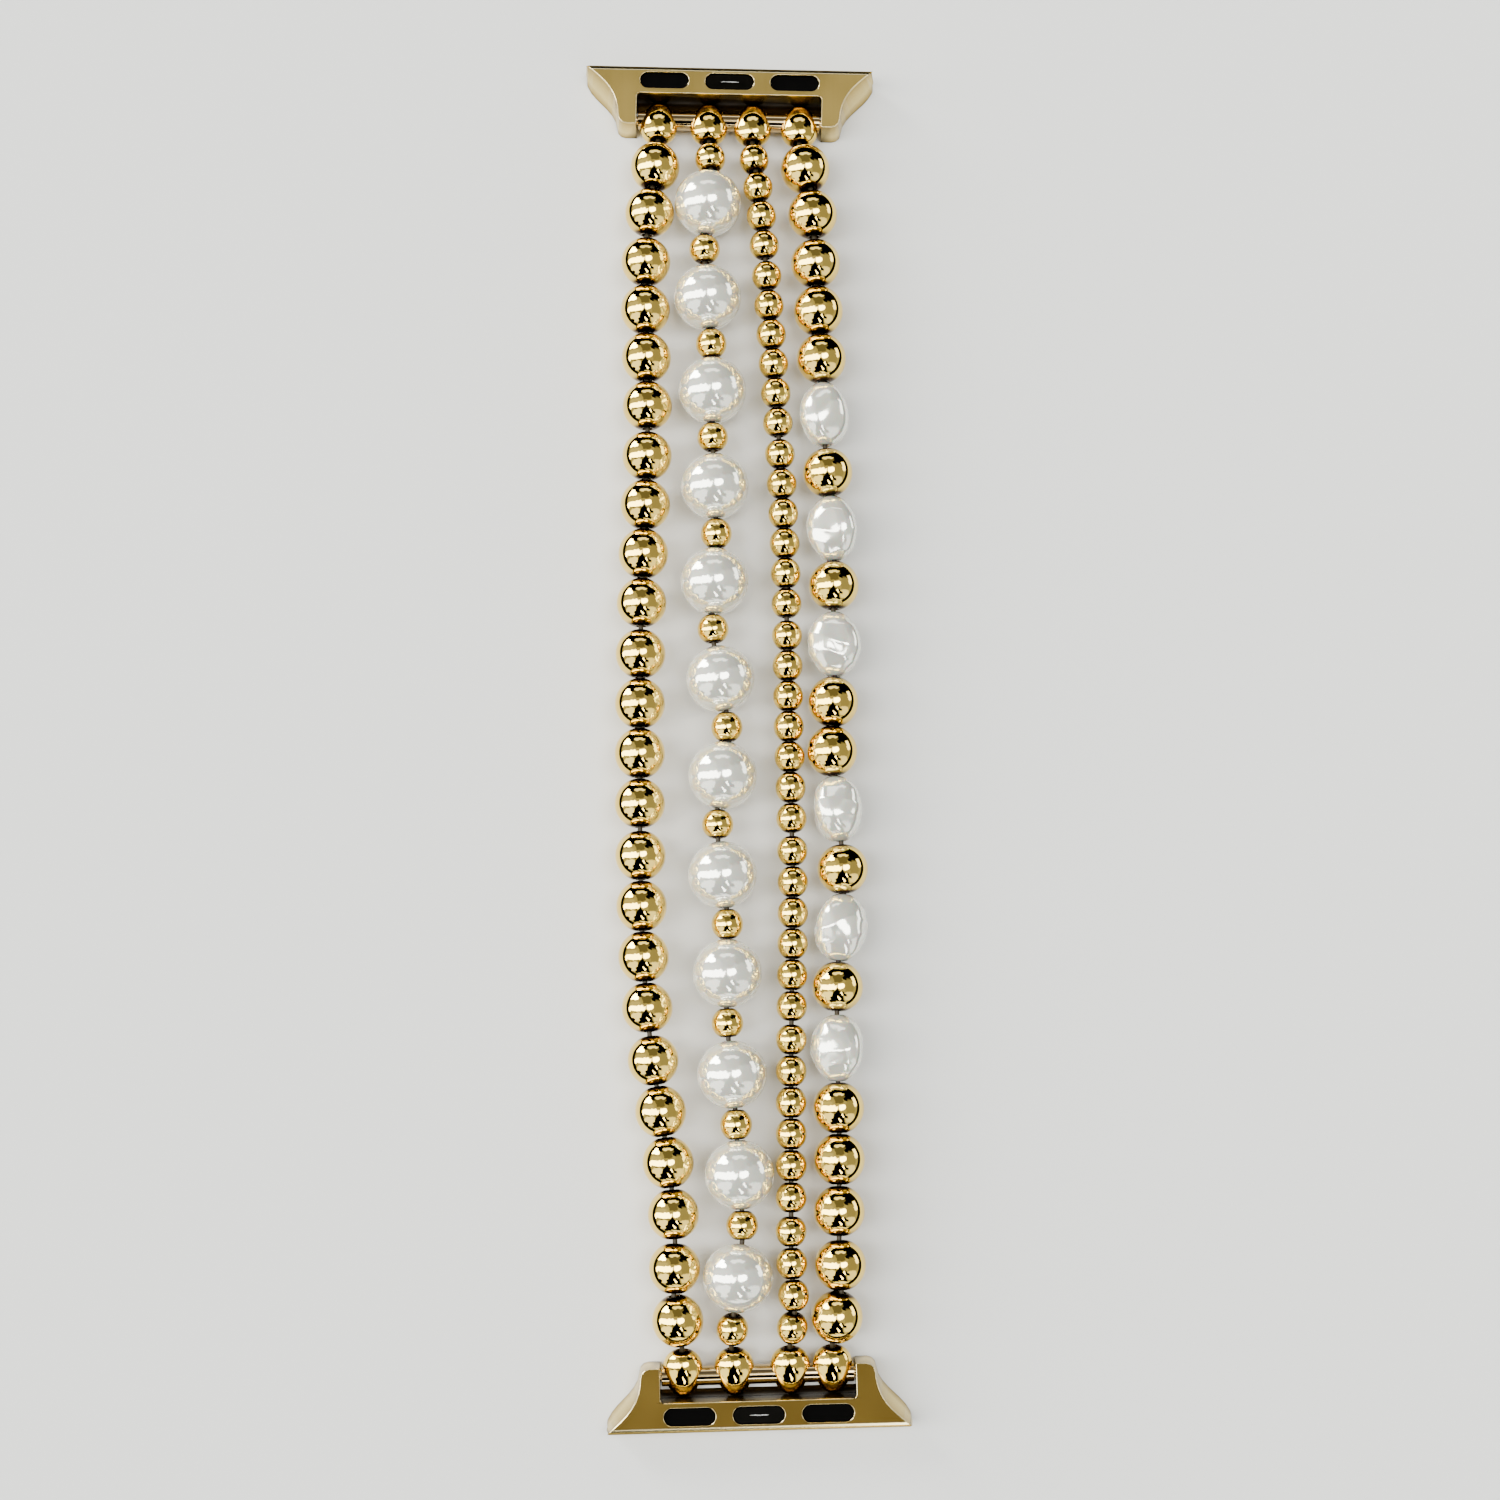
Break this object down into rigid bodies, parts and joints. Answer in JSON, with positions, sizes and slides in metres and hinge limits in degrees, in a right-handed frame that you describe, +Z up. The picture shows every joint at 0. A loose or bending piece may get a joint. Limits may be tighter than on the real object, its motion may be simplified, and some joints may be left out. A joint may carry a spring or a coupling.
{
  "type": "bead watch band",
  "caption": "Elastic watch band of side-by-side strands of gold and pearl beads between two slide-in case adapters with sprung latches.",
  "frame": {"origin": "on the table under the middle of the band's outer box, with the band laid flat, skin side up", "axes": "+Y along the band to its top adapter, +X across the band to the right, +Z up from the table towards the skin side"},
  "size_m": [0.0334, 0.1402, 0.007],
  "materials": {
    "gold_bead": "polished gold plate",
    "end_bead": "polished gold plate",
    "pearl": "white pearl coating",
    "nugget_pearl": "uneven white pearl lustre",
    "elastic": "clear white elastic cord",
    "adapter_metal": "brushed pale gold plate",
    "rubber_pad": "matte black",
    "latch_metal": "black satin",
    "spring_metal": "bright spring steel",
    "bar_metal": "polished pale gold steel"
  },
  "bodies": {
    "section_1": {"large_gold_beads_1": "gold_bead", "small_gold_beads_1": "gold_bead", "gold_spacers_1": "gold_bead", "round_pearls_1": "pearl", "elastic_threads_1": "elastic", "top_end_beads": "end_bead"},
    "section_2": {"large_gold_beads_2": "gold_bead", "small_gold_beads_2": "gold_bead", "gold_spacers_2": "gold_bead", "round_pearls_2": "pearl", "nugget_pearls_2": "nugget_pearl", "elastic_threads_2": "elastic"},
    "section_3": {"large_gold_beads_3": "gold_bead", "small_gold_beads_3": "gold_bead", "gold_spacers_3": "gold_bead", "round_pearls_3": "pearl", "nugget_pearls_3": "nugget_pearl", "elastic_threads_3": "elastic"},
    "section_4": {"large_gold_beads_4": "gold_bead", "small_gold_beads_4": "gold_bead", "gold_spacers_4": "gold_bead", "round_pearls_4": "pearl", "nugget_pearls_4": "nugget_pearl", "elastic_threads_4": "elastic"},
    "section_5": {"large_gold_beads_5": "gold_bead", "small_gold_beads_5": "gold_bead", "gold_spacers_5": "gold_bead", "round_pearls_5": "pearl", "nugget_pearls_5": "nugget_pearl", "elastic_threads_5": "elastic"},
    "section_6": {"large_gold_beads_6": "gold_bead", "small_gold_beads_6": "gold_bead", "gold_spacers_6": "gold_bead", "round_pearls_6": "pearl", "nugget_pearls_6": "nugget_pearl", "elastic_threads_6": "elastic"},
    "section_7": {"large_gold_beads_7": "gold_bead", "small_gold_beads_7": "gold_bead", "gold_spacers_7": "gold_bead", "round_pearls_7": "pearl", "elastic_threads_7": "elastic", "bottom_end_beads": "end_bead"},
    "top_adapter": {"top_adapter_body": "adapter_metal", "top_rubber_pads": "rubber_pad", "top_latch_spring": "spring_metal", "top_bar_tube": "bar_metal", "top_bar_spring": "spring_metal"},
    "top_latch_button": {"top_latch_button": "latch_metal"},
    "top_bar_tip_left": {"top_bar_tip_left": "bar_metal"},
    "top_bar_tip_right": {"top_bar_tip_right": "bar_metal"},
    "bottom_adapter": {"bottom_adapter_body": "adapter_metal", "bottom_rubber_pads": "rubber_pad", "bottom_latch_spring": "spring_metal", "bottom_bar_tube": "bar_metal", "bottom_bar_spring": "spring_metal"},
    "bottom_latch_button": {"bottom_latch_button": "latch_metal"},
    "bottom_bar_tip_left": {"bottom_bar_tip_left": "bar_metal"},
    "bottom_bar_tip_right": {"bottom_bar_tip_right": "bar_metal"}
  },
  "joints": [
    {"name": "bend_1", "type": "hinge", "parent": "section_2", "child": "section_1", "pos_m": [0, 0.0499, 0.0035], "axis": [1, 0, 0], "range_deg": [-30, 30]},
    {"name": "bend_2", "type": "hinge", "parent": "section_3", "child": "section_2", "pos_m": [0, 0.02996, 0.0035], "axis": [1, 0, 0], "range_deg": [-30, 30]},
    {"name": "bend_3", "type": "hinge", "parent": "section_4", "child": "section_3", "pos_m": [0, 0.01, 0.0035], "axis": [1, 0, 0], "range_deg": [-30, 30]},
    {"name": "bend_4", "type": "hinge", "parent": "section_4", "child": "section_5", "pos_m": [0, -0.00995, 0.0035], "axis": [-1, 0, 0], "range_deg": [-30, 30]},
    {"name": "bend_5", "type": "hinge", "parent": "section_5", "child": "section_6", "pos_m": [0, -0.0299, 0.0035], "axis": [-1, 0, 0], "range_deg": [-30, 30]},
    {"name": "bend_6", "type": "hinge", "parent": "section_6", "child": "section_7", "pos_m": [0, -0.04984, 0.0035], "axis": [-1, 0, 0], "range_deg": [-30, 30]},
    {"name": "top_adapter_swing", "type": "hinge", "parent": "section_1", "child": "top_adapter", "pos_m": [-0.00163, 0.06434, 0.00165], "axis": [0.9997, -0.0227, 0], "range_deg": [-75, 75]},
    {"name": "top_latch_press", "type": "slide", "parent": "top_adapter", "child": "top_latch_button", "axis": [0, 0, -1], "range_m": [0, 0.0006], "stiffness_N_per_m": 400, "springref_m": -0.0004, "deforming": ["top_latch_spring"]},
    {"name": "top_bar_tip_left_press", "type": "slide", "parent": "top_adapter", "child": "top_bar_tip_left", "axis": [0.9997, -0.0227, 0], "range_m": [0, 0.00115], "stiffness_N_per_m": 500, "springref_m": -0.0006},
    {"name": "top_bar_tip_right_press", "type": "slide", "parent": "top_adapter", "child": "top_bar_tip_right", "axis": [-0.9997, 0.0227, 0], "range_m": [0, 0.00115], "stiffness_N_per_m": 500, "springref_m": -0.0006},
    {"name": "bottom_adapter_swing", "type": "hinge", "parent": "section_7", "child": "bottom_adapter", "pos_m": [0.00137, -0.06426, 0.00165], "axis": [-0.9996, -0.0279, 0], "range_deg": [-75, 75]},
    {"name": "bottom_latch_press", "type": "slide", "parent": "bottom_adapter", "child": "bottom_latch_button", "axis": [0, 0, -1], "range_m": [0, 0.0006], "stiffness_N_per_m": 400, "springref_m": -0.0004, "deforming": ["bottom_latch_spring"]},
    {"name": "bottom_bar_tip_left_press", "type": "slide", "parent": "bottom_adapter", "child": "bottom_bar_tip_left", "axis": [-0.9996, -0.0279, 0], "range_m": [0, 0.00115], "stiffness_N_per_m": 500, "springref_m": -0.0006},
    {"name": "bottom_bar_tip_right_press", "type": "slide", "parent": "bottom_adapter", "child": "bottom_bar_tip_right", "axis": [0.9996, 0.0279, 0], "range_m": [0, 0.00115], "stiffness_N_per_m": 500, "springref_m": -0.0006}
  ]
}
